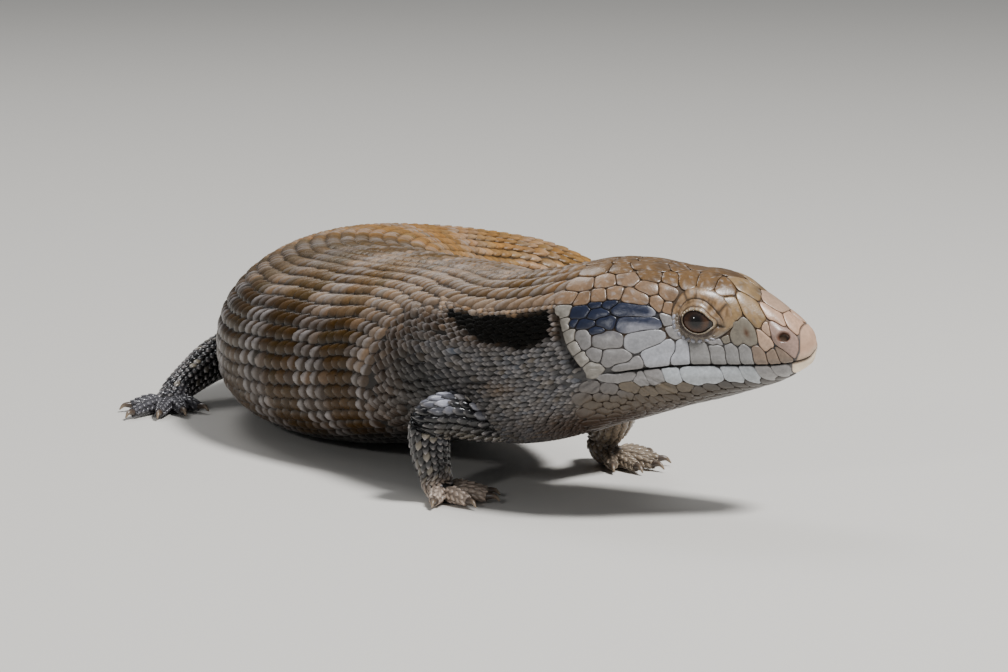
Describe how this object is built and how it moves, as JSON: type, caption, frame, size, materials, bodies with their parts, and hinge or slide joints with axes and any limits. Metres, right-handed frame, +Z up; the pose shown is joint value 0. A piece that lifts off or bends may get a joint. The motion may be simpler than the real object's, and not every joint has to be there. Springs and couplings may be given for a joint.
{
  "type": "blue-tongued skink",
  "caption": "Life-size still model of an adult eastern blue-tongued skink, walking, with its body curled to its left and its tail folded behind it.",
  "frame": {"origin": "on the floor, under the middle of the animal's bounding box", "axes": "+Z up from the floor; +X towards the side that the head faces; +Y towards the rump, so the right side of the head faces -Y"},
  "size_m": [0.1964, 0.264, 0.0677],
  "materials": {
    "head_skin": "satin",
    "body_skin": "satin",
    "limb_skin": "satin",
    "claw": "satin",
    "eye": "gloss"
  },
  "bodies": {
    "root": {"eye_left": "eye", "eye_right": "eye", "front_left_claw_1": "claw", "front_left_claw_2": "claw", "front_left_claw_3": "claw", "front_left_claw_4": "claw", "front_left_claw_5": "claw", "front_left_foot": "limb_skin", "front_left_forearm": "limb_skin", "front_left_upper_arm": "limb_skin", "front_right_claw_1": "claw", "front_right_claw_2": "claw", "front_right_claw_3": "claw", "front_right_claw_4": "claw", "front_right_claw_5": "claw", "front_right_foot": "limb_skin", "front_right_forearm": "limb_skin", "front_right_upper_arm": "limb_skin", "head": "head_skin", "hind_left_claw_1": "claw", "hind_left_claw_2": "claw", "hind_left_claw_3": "claw", "hind_left_claw_4": "claw", "hind_left_claw_5": "claw", "hind_left_foot": "limb_skin", "hind_left_shank": "limb_skin", "hind_left_thigh": "limb_skin", "hind_right_claw_1": "claw", "hind_right_claw_2": "claw", "hind_right_claw_3": "claw", "hind_right_claw_4": "claw", "hind_right_claw_5": "claw", "hind_right_foot": "limb_skin", "hind_right_shank": "limb_skin", "hind_right_thigh": "limb_skin", "hips": "body_skin", "loin": "body_skin", "neck": "body_skin", "shoulders": "body_skin", "tail_base": "body_skin", "tail_end": "body_skin", "tail_middle": "body_skin", "tail_tip": "body_skin", "trunk_front": "body_skin", "trunk_middle": "body_skin", "trunk_rear": "body_skin"}
  },
  "joints": []
}
